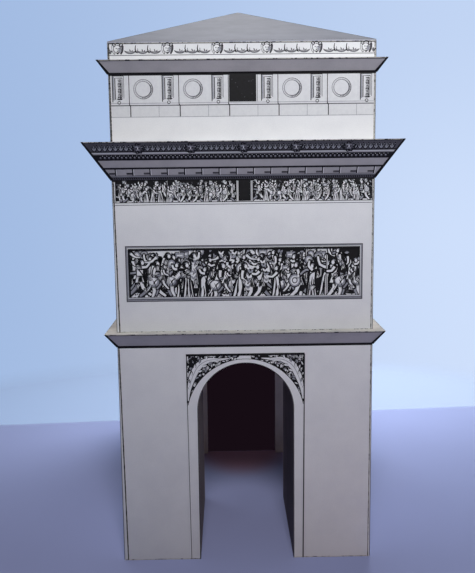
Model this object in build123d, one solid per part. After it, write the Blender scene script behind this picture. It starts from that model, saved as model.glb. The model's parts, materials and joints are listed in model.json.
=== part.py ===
from build123d import *
import math
import os

# A small card model of a triumphal arch: two piers with a small arch through each, a great arch
# between them, a middle stage, an attic and a low pyramid roof, under three folded cornice trays.
# Millimetres. The origin is on the floor under the middle of the model: the narrow faces look along
# -Y (front) and +Y (back), the wide faces with the great arch along -X (left) and +X (right).

# The block
block_width = 74.0  # narrow face, along X
block_length = 135.0  # wide face, along Y
card = 0.4  # thickness of the card, in every panel
seam = 0.04  # gap where two edges are glued in a mitre

# The storeys, each up to the top of the tray that closes it
pier_depth = 45.0  # each pier, along Y
pier_height = 70.0
middle_height = 54.0
attic_height = 22.1
parapet_height = 5.2
roof_rise = 20.2

# The arches
small_arch_width = 28.0
small_arch_height = 60.4

# The folded trays: how far the rim stands out and how high the sloped flange is
impost_reach, impost_rise = 3.2, 4.4
main_reach, main_rise = 7.1, 10.6
upper_reach, upper_rise = 2.9, 3.7

# Worked out from the sizes above
great_arch_width = block_length - 2 * pier_depth
pier_centre = (block_length - pier_depth) / 2
small_springing = small_arch_height - small_arch_width / 2
main_top = pier_height + middle_height
attic_top = main_top + attic_height
parapet_top = attic_top + parapet_height
through = 3 * card  # a cutter passes this far beyond a panel

# The four sides of a storey. A panel is drawn facing -Y and is turned to its side by this angle.
side_turn = {"front": 0, "right": 90, "back": 180, "left": 270}


def side_size(side, width, length):
    # Half the side's own length, and how far its face is from the middle of the storey.
    if side in ("front", "back"):
        return width / 2, length / 2
    return length / 2, width / 2


def plan_prism(points, bottom, top):
    return Pos(0, 0, bottom) * extrude(make_face(Polyline(*points, close=True)), top - bottom)


def section_prism(points, half_run):
    # The points are (distance from the middle, height); the prism runs along X.
    return extrude(Plane.YZ * make_face(Polyline(*points, close=True)), half_run, both=True)


def wall_panel(side, width, length, bottom, top):
    # An upright panel with its two ends mitred into its neighbours.
    half, face = side_size(side, width, length)
    end = half - seam
    inner = end - card
    plan = [(-end, -face), (end, -face), (inner, card - face), (-inner, card - face)]
    return plan_prism(plan, bottom, top)


def arch_cutter(width, springing, bottom):
    # A round-headed opening, as a prism across a panel's thickness.
    leg = springing - bottom
    outline = Pos(0, springing) * Circle(width / 2)
    if leg > 0:
        outline += Pos(0, bottom + leg / 2) * Rectangle(width, leg)
    return extrude(Plane.XZ * outline, through, both=True)


def vault_strip(width, springing, run):
    # A strip of card bent to the half round of an arch; the run is along Y.
    radius = width / 2
    ring = Circle(radius + card) - Circle(radius)
    half_ring = ring & (Pos(0, radius) * Rectangle(2 * width, width))
    return extrude(Plane.XZ * Pos(0, springing) * half_ring, run / 2, both=True)


def fold_back(reach, rise):
    # How far the inside of a tray's fold lies behind its rim.
    slope = math.atan2(rise, reach)
    return (card + card / math.cos(slope)) / math.tan(slope)


def tray_flange(side, width, length, top, reach, rise):
    # The sloped strip of a tray, from the wall up and out to the rim, with mitred ends.
    half, face = side_size(side, width, length)
    slope = math.atan2(rise, reach)
    rim = face + reach
    low = top - rise
    section = [
        (-face, low),
        (-rim, top),
        (-rim + fold_back(reach, rise), top - card),
        (-face, low + card / math.cos(slope)),
    ]
    end = half - seam
    plan = [(-end, -face), (end, -face), (end + reach, -rim), (-end - reach, -rim)]
    return section_prism(section, half + reach) & plan_prism(plan, low, top)


def tray_plate(width, length, top, reach, rise):
    # The flat top of a tray. Its edges lean back to the inside of the fold.
    across, along = width + 2 * reach, length + 2 * reach
    back = 2 * fold_back(reach, rise)
    upper = Pos(0, 0, top) * Rectangle(across, along)
    lower = Pos(0, 0, top - card) * Rectangle(across - back, along - back)
    return loft([lower, upper])


def roof_drop(side):
    # The height of a slope's edge, measured upright at the eave.
    face = side_size(side, block_width, block_length)[1]
    return card / math.cos(math.atan2(roof_rise, face))


def roof_slope(side):
    # One slope of the pyramid, cut along the hips.
    half, face = side_size(side, block_width, block_length)
    ridge = parapet_top + roof_rise
    drop = roof_drop(side)
    section = [(-face, parapet_top), (0, ridge), (0, ridge - drop), (-face, parapet_top - drop)]
    end = half - seam
    plan = [(-end, -face), (end, -face), (0, -seam)]
    return section_prism(section, half) & plan_prism(plan, parapet_top - drop, ridge)


def save(solid, name):
    solid.label = name
    export_step(solid, os.path.join("parts", name + ".step"))


def build_pier(pier, centre):
    # A pier is a box of four walls with a lined passage through it, closed by the impost tray.
    for side, turn in side_turn.items():
        wall = wall_panel(side, block_width, pier_depth, 0, pier_height - card)
        if side in ("front", "back"):
            cutter = arch_cutter(small_arch_width, small_springing, 0)
            wall -= Pos(0, -pier_depth / 2 + card / 2, 0) * cutter
        save(Pos(0, centre, 0) * Rot(0, 0, turn) * wall, f"{pier}_pier_{side}_wall")

    passage = pier_depth - 2 * card
    edge = small_arch_width / 2
    for side, inner in (("left", -edge - card), ("right", edge)):
        jamb = [(inner, -passage / 2), (inner + card, -passage / 2)]
        jamb += [(inner + card, passage / 2), (inner, passage / 2)]
        save(Pos(0, centre, 0) * plan_prism(jamb, 0, small_springing), f"{pier}_passage_{side}_jamb")
    vault = vault_strip(small_arch_width, small_springing, passage)
    save(Pos(0, centre, 0) * vault, f"{pier}_passage_vault")

    tray = (block_width, pier_depth, pier_height, impost_reach, impost_rise)
    flanges = [Rot(0, 0, turn) * tray_flange(side, *tray) for side, turn in side_turn.items()]
    save(Pos(0, centre, 0) * Compound(flanges), f"{pier}_impost_flanges")
    save(Pos(0, centre, 0) * tray_plate(*tray), f"{pier}_impost_ledge")


def build_storey(name, bottom, top):
    # Four walls from the tray below to the underside of the tray above.
    for side, turn in side_turn.items():
        wall = wall_panel(side, block_width, block_length, bottom, top - card)
        save(Rot(0, 0, turn) * wall, f"{name}_{side}_wall")


def build_middle():
    for side, turn in side_turn.items():
        wall = wall_panel(side, block_width, block_length, pier_height, main_top - card)
        if side in ("left", "right"):
            cutter = arch_cutter(great_arch_width, pier_height, pier_height)
            wall -= Pos(0, -block_width / 2 + card / 2, 0) * cutter
        save(Rot(0, 0, turn) * wall, f"middle_{side}_wall")
    vault = vault_strip(great_arch_width, pier_height, block_width - 2 * card)
    save(Rot(0, 0, 90) * vault, "great_arch_vault")


def build_tray(name, top, reach, rise):
    tray = (block_width, block_length, top, reach, rise)
    for side, turn in side_turn.items():
        save(Rot(0, 0, turn) * tray_flange(side, *tray), f"{name}_{side}_flange")
    save(tray_plate(*tray), f"{name}_ledge")


def build_parapet_and_roof():
    # The slopes lie on the parapet, flush with its faces.
    for side, turn in side_turn.items():
        seat = parapet_top - roof_drop(side)
        wall = wall_panel(side, block_width, block_length, attic_top, seat)
        save(Rot(0, 0, turn) * wall, f"parapet_{side}_wall")
        save(Rot(0, 0, turn) * roof_slope(side), f"roof_{side}_slope")


os.makedirs("parts", exist_ok=True)
build_pier("front", -pier_centre)
build_pier("back", pier_centre)
build_middle()
build_tray("main_cornice", main_top, main_reach, main_rise)
build_storey("attic", main_top, attic_top)
build_tray("upper_cornice", attic_top, upper_reach, upper_rise)
build_parapet_and_roof()
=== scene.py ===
import bpy
import json
import math
import random
from mathutils import Matrix, Vector
from types import SimpleNamespace

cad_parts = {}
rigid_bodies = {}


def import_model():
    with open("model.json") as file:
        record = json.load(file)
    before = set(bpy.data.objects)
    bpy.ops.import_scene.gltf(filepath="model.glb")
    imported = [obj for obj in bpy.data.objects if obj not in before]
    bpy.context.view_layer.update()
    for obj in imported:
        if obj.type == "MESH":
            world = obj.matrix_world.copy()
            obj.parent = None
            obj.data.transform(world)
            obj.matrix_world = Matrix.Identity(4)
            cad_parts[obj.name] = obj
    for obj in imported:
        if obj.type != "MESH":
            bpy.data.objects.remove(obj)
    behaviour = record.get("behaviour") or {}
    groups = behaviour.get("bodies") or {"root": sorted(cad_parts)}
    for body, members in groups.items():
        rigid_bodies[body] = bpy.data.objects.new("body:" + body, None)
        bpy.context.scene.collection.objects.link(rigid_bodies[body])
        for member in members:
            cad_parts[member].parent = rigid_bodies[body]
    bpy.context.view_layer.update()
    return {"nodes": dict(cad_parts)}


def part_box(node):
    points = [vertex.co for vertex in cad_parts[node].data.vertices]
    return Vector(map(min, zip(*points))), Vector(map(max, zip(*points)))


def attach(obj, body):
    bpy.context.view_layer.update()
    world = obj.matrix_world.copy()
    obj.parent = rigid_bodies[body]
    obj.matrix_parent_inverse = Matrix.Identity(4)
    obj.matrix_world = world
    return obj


# A folded card model of a triumphal arch, with its printed artwork drawn as thin layers of ink on
# the card, under soft studio light. All artwork is in millimetres on the face it lies on.

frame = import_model()
random.seed(23)
mm = 0.001  # a millimetre, in metres
upward = Vector((0, 0, 1))
print("stage: frame loaded")


def hexColour(code):  # sRGB hex to the linear values that shaders use
    parts = [int(code[i:i + 2], 16) / 255 for i in (0, 2, 4)]
    return (*(c / 12.92 if c <= 0.04045 else ((c + 0.055) / 1.055) ** 2.4 for c in parts), 1.0)


def perMetre(size):  # the scale of a pattern whose grain is this many millimetres
    return 1 / (size * mm)


# Camera: hand height in front of the narrow face, looking slightly down; mm and degrees
cameraPlace = {"at": (-4.6, -291.5, 115.8), "down": 8.33, "toRight": 0.66, "roll": -0.67, "lens": 49.57}


def makeCamera(place):
    camera = bpy.data.objects.new("camera", bpy.data.cameras.new("camera"))
    bpy.context.scene.collection.objects.link(camera)
    aim = Matrix.Translation(Vector(place["at"]) * mm)
    for angle, axis in ((-place["toRight"], "Z"), (90 - place["down"], "X"), (place["roll"], "Z")):
        aim = aim @ Matrix.Rotation(math.radians(angle), 4, axis)
    camera.matrix_world = aim
    camera.data.lens = place["lens"]
    camera.data.clip_start, camera.data.clip_end = 0.01, 20
    bpy.context.scene.camera = camera


makeCamera(cameraPlace)


def addNode(tree, kind, settings, output=None):
    # A node with its settings: an attribute, an input's value, or a link where the value is a socket.
    # It gives back the output of that name, or else the first one in use.
    node = tree.nodes.new("ShaderNode" + kind)
    for name, value in settings.items():
        if isinstance(name, str) and hasattr(node, name):
            setattr(node, name, value)
        elif isinstance(value, bpy.types.NodeSocket):
            tree.links.new(value, node.inputs[name])
        else:
            node.inputs[name].default_value = value
    return node.outputs[output] if output else next((end for end in node.outputs if end.enabled), None)


def newMaterial(name):  # with its tree, and the place on the object that its patterns are measured from
    made = bpy.data.materials.new(name)
    made.use_nodes = True
    made.node_tree.nodes.clear()
    return made, made.node_tree, addNode(made.node_tree, "TexCoord", {}, "Object")


# Each card: base and shade are its colour and the colour of its clouds, in hex; sizes in mm
cards = {
    # Heavy white card, calendered: an even, barely shiny white with faint clouds from the pulp
    "white_calendered_card": {"base": "e6e7ea", "shade": "e0e1e5", "cloud": 9.0, "rough": 0.62},
    # The same card, flooded with a grey screen of fused toner: flat grey, slightly streaky
    "card_with_grey_toner_screen": {"base": "aba8ad", "shade": "a19fa4", "cloud": 6.0, "rough": 0.55},
    "card_with_pale_toner_screen": {"base": "a2a5b1", "shade": "999ca8", "cloud": 7.0, "rough": 0.55},
    # Uncoated thin liner card, bent to the arch: duller, and coloured warmer and darker as painted shade
    # inside the passages
    "grey_liner_card_bent": {"base": "6b6266", "shade": "5f575b", "cloud": 8.0, "rough": 0.8},
    # The two walls that face each other in the great arch: white card coloured warmer and darker as painted
    # shade and the painted warm reflection of the dark passages, and duller
    "unbleached_card_inside": {"base": "c4b6ae", "shade": "b8aaa2", "cloud": 7.0, "rough": 0.75},
    # Unprinted reverse on the tray tops, handled: off-white with soft smudges
    "white_card_handled": {"base": "e2dfda", "shade": "cfccc8", "cloud": 5.0, "rough": 0.7},
}
cardGrain = {  # mm
    "fibre": 0.3, "fibreDeep": 0.03,  # real fibres are a tenth of this size and would not show
    "cockle": 16.0, "cockleDeep": 0.5,  # the soft waves that glue and damp leave in a panel
    "roughSpread": 0.08}


def makeCard(name, look):
    made, tree, place = newMaterial(name)
    cloud, fibre, cockle = (
        addNode(tree, "TexNoise", {
            "Vector": place, "Scale": perMetre(size), "Detail": detail, "Roughness": uneven})
        for size, detail, uneven in (
            (look["cloud"], 4.0, 0.6), (cardGrain["fibre"], 3.0, 0.7), (cardGrain["cockle"], 1.0, 0.4)))
    clouded = addNode(tree, "MapRange", {"Value": cloud, "From Min": 0.38, "From Max": 0.66})
    colour = addNode(tree, "Mix", {
        "data_type": "RGBA", 0: clouded, 6: hexColour(look["base"]), 7: hexColour(look["shade"])})
    speck = addNode(tree, "MapRange", {
        "Value": fibre, "From Min": 0.3, "From Max": 0.7, "To Min": 0.955, "To Max": 1.03})
    grained = addNode(tree, "VectorMath", {"operation": "SCALE", 0: colour, "Scale": speck})
    rough = addNode(tree, "MapRange", {
        "Value": fibre, "To Min": look["rough"] - cardGrain["roughSpread"],
        "To Max": look["rough"] + cardGrain["roughSpread"]})
    wave = addNode(tree, "Bump", {
        "Height": cockle, "Strength": 0.12, "Distance": cardGrain["cockleDeep"] * mm})
    felt = addNode(tree, "Bump", {
        "Height": fibre, "Strength": 0.25, "Distance": cardGrain["fibreDeep"] * mm, "Normal": wave})
    shader = addNode(tree, "BsdfPrincipled", {
        "Base Color": grained, "Roughness": rough, "Normal": felt, "Specular IOR Level": 0.35, "IOR": 1.5})
    addNode(tree, "OutputMaterial", {"Surface": shader})
    return made


# Each ink: fused laser toner. Black has a slight shine and pinholes where the fibres stand up;
# the screens are greys that the eye blends from dots of about 0.15 mm, too fine to draw.
inks = {
    "black": {"named": "black_fused_toner", "base": "070609", "shade": "121116", "rough": 0.55},
    "slate": {"named": "dark_toner_screen", "base": "45444c", "shade": "54535c", "rough": 0.55},
    "grey": {"named": "light_toner_screen", "base": "9b9da6", "shade": "8a8c96", "rough": 0.55},
    # the faint screen lies only on the attic: partly its print, partly painted shade
    "pale": {"named": "faint_toner_screen", "base": "d8d9dc", "shade": "d0d1d5", "rough": 0.6},
}
tonerMottle = {"size": 0.8, "deep": 0.02}  # mm: the uneven patches of a worn drum


def makeToner(look):
    made, tree, place = newMaterial(look["named"])
    mottle = addNode(tree, "TexNoise", {
        "Vector": place, "Scale": perMetre(tonerMottle["size"]), "Detail": 3.0, "Roughness": 0.65})
    mottled = addNode(tree, "MapRange", {"Value": mottle, "From Min": 0.35, "From Max": 0.7})
    colour = addNode(tree, "Mix", {
        "data_type": "RGBA", 0: mottled, 6: hexColour(look["base"]), 7: hexColour(look["shade"])})
    rough = addNode(tree, "MapRange", {
        "Value": mottle, "To Min": look["rough"] - 0.1, "To Max": look["rough"] + 0.15})
    felt = addNode(tree, "Bump", {
        "Height": mottle, "Strength": 0.2, "Distance": tonerMottle["deep"] * mm})
    shader = addNode(tree, "BsdfPrincipled", {
        "Base Color": colour, "Roughness": rough, "Normal": felt, "Specular IOR Level": 0.25, "IOR": 1.5})
    addNode(tree, "OutputMaterial", {"Surface": shader})
    return made


# Toner that has cracked off along a scored fold or a cut: black flakes between bare card core
wornFold = {"toner": "1f1b1c", "core": "d6d3ca", "flake": 1.1, "deep": 0.08, "kept": 0.54, "blur": 0.03}


def makeWornFold(look):
    made, tree, place = newMaterial("toner_cracked_at_fold")
    flake = addNode(tree, "TexNoise", {
        "Vector": place, "Scale": perMetre(look["flake"]), "Detail": 5.0, "Roughness": 0.75})
    kept = addNode(tree, "MapRange", {
        "Value": flake, "From Min": look["kept"] - look["blur"], "From Max": look["kept"] + look["blur"]})
    colour = addNode(tree, "Mix", {
        "data_type": "RGBA", 0: kept, 6: hexColour(look["core"]), 7: hexColour(look["toner"])})
    torn = addNode(tree, "Bump", {"Height": flake, "Strength": 0.6, "Distance": look["deep"] * mm})
    shader = addNode(tree, "BsdfPrincipled", {"Base Color": colour, "Roughness": 0.85, "Normal": torn})
    addNode(tree, "OutputMaterial", {"Surface": shader})
    return made


materials = {name: makeCard(name, look) for name, look in cards.items()}
materials.update({tone: makeToner(look) for tone, look in inks.items()})
materials["worn"] = makeWornFold(wornFold)
materials["bare"] = materials["white_calendered_card"]

nodeCards = (  # the first name part that matches gives a node its card
    ("_flange", "card_with_grey_toner_screen"), ("_ledge", "white_card_handled"),
    # the inner walls of the great arch and the passage linings get cards coloured with painted shade
    ("roof_", "card_with_pale_toner_screen"), ("front_pier_back", "unbleached_card_inside"),
    ("back_pier_front", "unbleached_card_inside"), ("passage_", "grey_liner_card_bent"),
    ("_vault", "grey_liner_card_bent"), ("_wall", "white_calendered_card"))
cutEdge = {"round": 0.08, "sharperThan": 35}  # mm that a knife or a score rounds an edge; degrees

for name, node in frame["nodes"].items():
    card = next(card for part, card in nodeCards if part in name)
    node.data.materials.clear()
    node.data.materials.append(materials[card])
    for face in node.data.polygons:
        face.use_smooth = False
    rounded = node.modifiers.new("cut_edge", "BEVEL")
    rounded.width, rounded.segments, rounded.limit_method = cutEdge["round"] * mm, 2, "ANGLE"
    rounded.angle_limit = math.radians(cutEdge["sharperThan"])
print("stage: card materials on", len(frame["nodes"]), "nodes")

# Ink lies on the card in layers, so that what is drawn later covers what is under it
inkLayers = {"first": 0.02, "step": 0.003}  # mm
# In mm: the card, how far the eave lies above the parapet, and where a tray hides the inner walls
folded = {"cardThick": 0.4, "eaveAbove": 0.43, "innerTop": 69.0}
sheets = {}  # for each printed sheet, its points and faces by tone
sideAxes = {  # across (to the right as one looks at the side) and outward
    "front": (Vector((1, 0, 0)), Vector((0, -1, 0))), "right": (Vector((0, 1, 0)), Vector((1, 0, 0))),
    "back": (Vector((-1, 0, 0)), Vector((0, 1, 0))), "left": (Vector((0, -1, 0)), Vector((-1, 0, 0)))}


def facing(side, node):  # a node as seen from a side: its axes, box, middle, half width and reach
    across, out = sideAxes[side]
    low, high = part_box(node)
    return SimpleNamespace(
        across=across, out=out, low=low, high=high, middle=across * ((low + high) / 2).dot(across),
        half=abs((high - low).dot(across)) / 2, deep=max(low.dot(out), high.dot(out)))


def wallPage(sheet, side, node):
    # The outer face of a wall: u runs across from its middle and v up from its foot, in mm.
    seen = facing(side, node)
    return SimpleNamespace(
        sheet=sheet, origin=seen.middle + seen.out * seen.deep + upward * seen.low.z, across=seen.across,
        up=upward, out=seen.out, half=seen.half / mm, tall=(seen.high.z - seen.low.z) / mm, spread=0.0)


def flangePage(sheet, side, wall, node):
    # The sloped face of a tray: v runs along the slope from the wall to the rim.
    seen = facing(side, node)
    reach, rise = seen.deep - wall.origin.dot(seen.out), seen.high.z - seen.low.z
    slope = math.hypot(reach, rise)
    origin = wall.origin.copy()
    origin.z = seen.low.z
    return SimpleNamespace(
        sheet=sheet, origin=origin, across=seen.across, half=wall.half, tall=slope / mm, spread=reach / slope,
        up=(seen.out * reach + upward * rise) / slope, out=(seen.out * rise - upward * reach) / slope)


def topPage(sheet, side, node):
    # The flat top of a tray along one side: v runs inward from the rim.
    seen = facing(side, node)
    return SimpleNamespace(
        sheet=sheet, origin=seen.middle + seen.out * seen.deep + upward * seen.high.z, across=seen.across,
        up=-seen.out, out=upward, half=seen.half / mm, spread=-1.0)


def slopePage(side):
    # A roof slope: v runs up from the eave.
    seen = facing(side, f"roof_{side}_slope")
    rise = seen.high.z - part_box(f"parapet_{side}_wall")[1].z - folded["eaveAbove"] * mm
    run = math.hypot(seen.deep, rise)
    return SimpleNamespace(
        sheet="roof", origin=seen.out * seen.deep + upward * (seen.high.z - rise), across=seen.across,
        up=(upward * rise - seen.out * seen.deep) / run, out=(seen.out * rise + upward * seen.deep) / run,
        half=seen.half / mm, tall=run / mm, spread=-seen.half / run)


def within(page, left, bottom, right, top):  # the same page, with whatever falls outside cut off
    return SimpleNamespace(**{**vars(page), "area": (left, bottom, right, top)})


def clipped(points, area):
    for axis, limit, sign in ((0, area[0], 1), (1, area[1], 1), (0, area[2], -1), (1, area[3], -1)):
        kept = []
        for start, end in zip(points, points[1:] + points[:1]):
            near, far = (start[axis] - limit) * sign, (end[axis] - limit) * sign
            if near >= 0:
                kept.append(start)
            if near * far < 0:
                kept.append(tuple(a + (b - a) * near / (near - far) for a, b in zip(start, end)))
        points = kept
    return points


def addFaces(page, tone, layer, outline, faces):
    held = sheets.setdefault(page.sheet, {}).setdefault(tone, SimpleNamespace(points=[], faces=[]))
    if hasattr(page, "area"):
        rings = [clipped([outline[i] for i in face], page.area) for face in faces]
        outline, faces = [], []
        for ring in rings:
            if len(ring) > 2:
                faces.append(range(len(outline), len(outline) + len(ring)))
                outline += ring
    base = page.origin + page.out * ((inkLayers["first"] + layer * inkLayers["step"]) * mm)
    across, up = page.across * mm, page.up * mm
    first = len(held.points)
    held.points += [base + across * u + up * v for u, v in outline]
    held.faces += [[first + i for i in face] for face in faces]


def patch(page, outline, tone, layer):
    turn = sum(a[0] * b[1] - b[0] * a[1] for a, b in zip(outline, outline[1:] + outline[:1]))
    addFaces(page, tone, layer, outline if turn > 0 else outline[::-1], [range(len(outline))])


def box(page, left, bottom, right, top, tone, layer):
    patch(page, [(left, bottom), (right, bottom), (right, top), (left, top)], tone, layer)


def disc(page, u, v, radius, tone, layer, flat=1.0, sides=12):
    turns = [2 * math.pi * i / sides for i in range(sides)]
    patch(page, [(u + radius * math.cos(a), v + radius * flat * math.sin(a)) for a in turns], tone, layer)


def widthAt(width, t):  # a width, or a row of widths spread evenly along a line
    if not isinstance(width, (tuple, list)):
        return width
    place = t * (len(width) - 1)
    i = min(int(place), len(width) - 2)
    return width[i] + (width[i + 1] - width[i]) * (place - i)


def stroke(page, line, width, tone, layer, ends=False):
    count = len(line)
    left, right = [], []
    for i, (u, v) in enumerate(line):
        before, after = line[max(i - 1, 0)], line[min(i + 1, count - 1)]
        du, dv = after[0] - before[0], after[1] - before[1]
        long = math.hypot(du, dv) or 1.0
        half = widthAt(width, i / max(count - 1, 1)) / 2 / long
        left.append((u - dv * half, v + du * half))
        right.append((u + dv * half, v - du * half))
    faces = [(i, i + count, i + 1 + count, i + 1) for i in range(count - 1)]
    addFaces(page, tone, layer, left + right, faces)
    if ends:
        for place, t in ((line[0], 0), (line[-1], 1)):
            disc(page, *place, widthAt(width, t) / 2, tone, layer, sides=6)


def upright(page, u, bottom, top, width, tone, layer):
    stroke(page, [(u, bottom), (u, top)], width, tone, layer)


def level(page, v, left, right, width, tone, layer):
    stroke(page, [(left, v), (right, v)], width, tone, layer)


def arc(u, v, radius, start, end, count=24, flat=1.0):
    turns = [math.radians(start + (end - start) * i / count) for i in range(count + 1)]
    return [(u + radius * math.cos(a), v + radius * flat * math.sin(a)) for a in turns]


def smooth(points, steps=3):
    # A curve through the points.
    rounded = []
    for i in range(len(points) - 1):
        p0, p1, p2, p3 = (points[max(0, min(len(points) - 1, k))] for k in (i - 1, i, i + 1, i + 2))
        for s in range(steps):
            t = s / steps
            rounded.append(tuple(0.5 * (2 * b + (c - a) * t + (2 * a - 5 * b + 4 * c - d) * t * t
                                        + (3 * b - a - 3 * c + d) * t ** 3)
                                 for a, b, c, d in zip(p0, p1, p2, p3)))
    return rounded + [points[-1]]


def leaf(page, u, v, length, width, turn, tone, layer):
    shape = ((0, 0), (0.3, 0.42), (0.65, 0.4), (1, 0), (0.65, -0.4), (0.3, -0.42))
    c, s = math.cos(turn), math.sin(turn)
    patch(page, [(u + x * length * c - y * width * s, v + x * length * s + y * width * c)
                 for x, y in shape], tone, layer)


def placed(u, v, size, ahead=1):  # finds a point by its share of a figure's size, ahead and above
    return lambda x, y: (u + ahead * x * size, v + y * size)


def times(size, *shares):
    return tuple(share * size for share in shares)


def discs(page, at, size, layer, rows):  # each row: where, radius, tone, layer, how tall, sides
    for x, y, radius, tone, step, flat, sides in rows:
        disc(page, *at(x, y), radius * size, tone, layer + step, flat, sides)


# Lines printed along folds, cuts and joints, in mm
lineWeights = {"fold": 0.4, "cut": 0.28, "joint": 0.2, "hair": 0.12, "heel": 0.66, "mitre": 0.9}


def acrossStrip(page, bottom, top, tone, layer, inset=0.0):
    # A band over the whole face, cut to the mitre at both ends where the face is a tray's slope.
    low, high = (page.half + page.spread * v - inset for v in (bottom, top))
    patch(page, [(-low, bottom), (low, bottom), (high, top), (-high, top)], tone, layer)


def edgeLines(page, bottom, top, drift=0.0):
    # The printed outline of a wall runs beside the real fold and strays from it by the drift.
    for turn, stray, wear, ink in ((-1, drift, 1.0, "cut"), (1, -drift * 0.3, 0.7, "hair")):
        edge = turn * (page.half - 0.34)
        outline = [(edge + stray, bottom), (edge, top)]
        stroke(page, outline, lineWeights["fold"] * wear, "worn", 1)
        stroke(page, outline, lineWeights[ink], "black", 2)
        # painted shade: a black hair line right at the edge, where the wall turns the corner
        upright(page, turn * (page.half - 0.06), bottom, top, lineWeights["hair"], "black", 3)


def cutFeet(page, opening):
    # The cut along the foot, where the card has taken up a little dirt and lost some toner.
    for turn in (-1, 1):
        level(page, 0.16, turn * (page.half - 0.4), turn * opening, 0.22, "worn", 1)


def underFlange(wall, top):  # a black line just below the fold: the printed line, widened into painted shade that the tray throws on the wall
    level(wall, top - 0.14, -wall.half, wall.half, 0.3, "black", 4)


def plainFlange(page):
    acrossStrip(page, 0.02, lineWeights["heel"], "black", 1)
    mitreAndRim(page)


def mitreAndRim(page):
    top = page.tall - 0.04
    acrossStrip(page, top - 0.2, top, "worn", 6, 0.1)
    acrossStrip(page, top - 0.42, top - 0.2, "black", 5, 0.1)
    for turn in (-1, 1):
        line = [(turn * (page.half + page.spread * v - 0.26), v) for v in (0.3, top)]
        stroke(page, line, (lineWeights["mitre"], 0.5), "black", 7)


# A lion's mask of the common kind, in shares of its size
lionMask = (
    (-0.27, 0.3, 0.08, "slate", 2, 1.0, 8), (0.27, 0.3, 0.08, "slate", 2, 1.0, 8),  # round ears
    (0, 0.02, 0.3, "slate", 2, 1.0, 12), (-0.06, 0.12, 0.13, "grey", 3, 0.8, 12),  # face and brow
    (-0.11, 0.06, 0.06, "black", 5, 0.8, 6), (0.11, 0.06, 0.06, "black", 5, 0.8, 6),  # eyes
    (-0.08, -0.13, 0.06, "grey", 6, 1.0, 8), (0.08, -0.13, 0.06, "grey", 6, 1.0, 8),  # muzzle
    (0, -0.27, 0.13, "black", 5, 0.6, 8))  # open mouth


def beastFace(page, u, v, size, layer):
    at = placed(u, v, size)
    mane = [at((0.54 if i % 2 else 0.46) * math.cos(math.tau * i / 18),
               (0.5 if i % 2 else 0.42) * math.sin(math.tau * i / 18)) for i in range(18)]
    patch(page, mane, "black", layer)
    for i in range(9):
        turn = math.tau * (i + 0.5) / 9
        leaf(page, *at(0.26 * math.cos(turn), 0.26 * math.sin(turn)), size * 0.18, size * 0.08,
             turn, "slate" if i % 3 else "grey", layer + 1)
    discs(page, at, size, layer, lionMask)
    for turn in (-1, 1):
        stroke(page, [at(turn * 0.22, 0.15), at(turn * 0.04, 0.13)], size * 0.04, "grey", layer + 5)
    stroke(page, [at(0, 0.1), at(0, -0.08)], size * 0.06, "bare", layer + 5)


cornicePrint = {
    "mutules": 4.81, "masks": 14.4, "beads": 1.17, "leaves": 1.45, "maskSize": 3.6,  # spacing and size, mm
    "strips": (  # the mouldings: from, to, tone, layer
        (0.0, 0.3, "black", 1), (0.3, 1.35, "slate", 1), (1.35, 1.55, "grey", 2), (3.85, 4.3, "black", 4),
        (4.3, 4.45, "slate", 4), (6.75, 8.5, "black", 2), (8.5, 8.68, "slate", 3), (8.86, 9.3, "grey", 3),
        (9.0, 9.16, "bare", 4), (9.36, 12.3, "slate", 2), (9.36, 9.7, "black", 3), (11.85, 12.1, "slate", 5))}


def evenly(length, spacing):  # positions about the middle, a whole number of spacings
    count = int(length / spacing)
    return [(i - count / 2) * spacing for i in range(count + 1)]


def greatCornice(page):
    for strip in cornicePrint["strips"]:
        acrossStrip(page, *strip)
    for u in evenly(2 * page.half - 0.6, 0.62):  # a row of tiny leaves, nearly lost in the dark
        leaf(page, u, 0.36, 0.85, 0.4, math.pi / 2 + 0.35, "black", 2)
    for u in evenly(2 * page.half, cornicePrint["mutules"]):
        upright(page, u + 0.43, 1.65, 3.9, 0.3, "black", 3)
        upright(page, u + 0.7, 1.75, 3.8, 0.16, "bare", 3)
        level(page, 2.55, u - 1.35, u + 0.3, 0.26, "black", 3)
        level(page, 2.22, u - 1.35, u + 0.3, 0.3, "slate", 3)
        level(page, 1.72, max(u - 4.2, -page.half), u + 0.3, 0.2, "slate", 3)
    for u in evenly(2 * page.half + 4.6, cornicePrint["beads"]):
        disc(page, u, 7.62, 0.34, "slate", 3, 1.25, 8)
        disc(page, u - 0.06, 7.72, 0.2, "grey", 4, 1.0, 8)
        disc(page, u + cornicePrint["beads"] / 2, 8.2, 0.1, "bare", 4, 1.0, 6)
    for u in evenly(2 * page.half + 8.6, cornicePrint["leaves"]):
        for turn, long, rib in ((-0.5, 1.8, 1.3), (0.5, 1.8, 1.3), (0.0, 2.2, 1.8)):
            # a palmette: three lobes, each with a light rib
            leaf(page, u, 9.6, long, 0.72, math.pi / 2 + turn, "black", 3)
            leaf(page, u - 0.06, 9.8, rib, 0.32, math.pi / 2 + turn, "grey", 4)
        leaf(page, u + cornicePrint["leaves"] / 2, 11.9, 1.7, 0.5, -math.pi / 2, "black", 4)
        disc(page, u + cornicePrint["leaves"] / 2, 11.2, 0.14, "grey", 5, 1.0, 6)
    for u in evenly(2 * page.half - 10, cornicePrint["masks"]):
        beastFace(page, u, 10.5, cornicePrint["maskSize"], 6)
    mitreAndRim(page)


# Figures are drawn as round limbs: a dark outline, a half tone and the side that the light falls on
def limb(page, line, widths, layer, rim, lit="bare", shade="grey"):
    stroke(page, line, tuple(w + rim for w in widths), "black", layer, ends=True)
    stroke(page, line, widths, shade, layer + 1, ends=True)
    away = max(widths) * 0.1
    stroke(page, [(u - away, v + away * 0.6) for u, v in line], times(0.85, *widths), lit, layer + 2)


def bent(start, end, by):  # a joint half way, pushed sideways by this share of the length
    du, dv = end[0] - start[0], end[1] - start[1]
    return smooth([start, ((start[0] + end[0]) / 2 - dv * by, (start[1] + end[1]) / 2 + du * by), end], 2)


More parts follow.
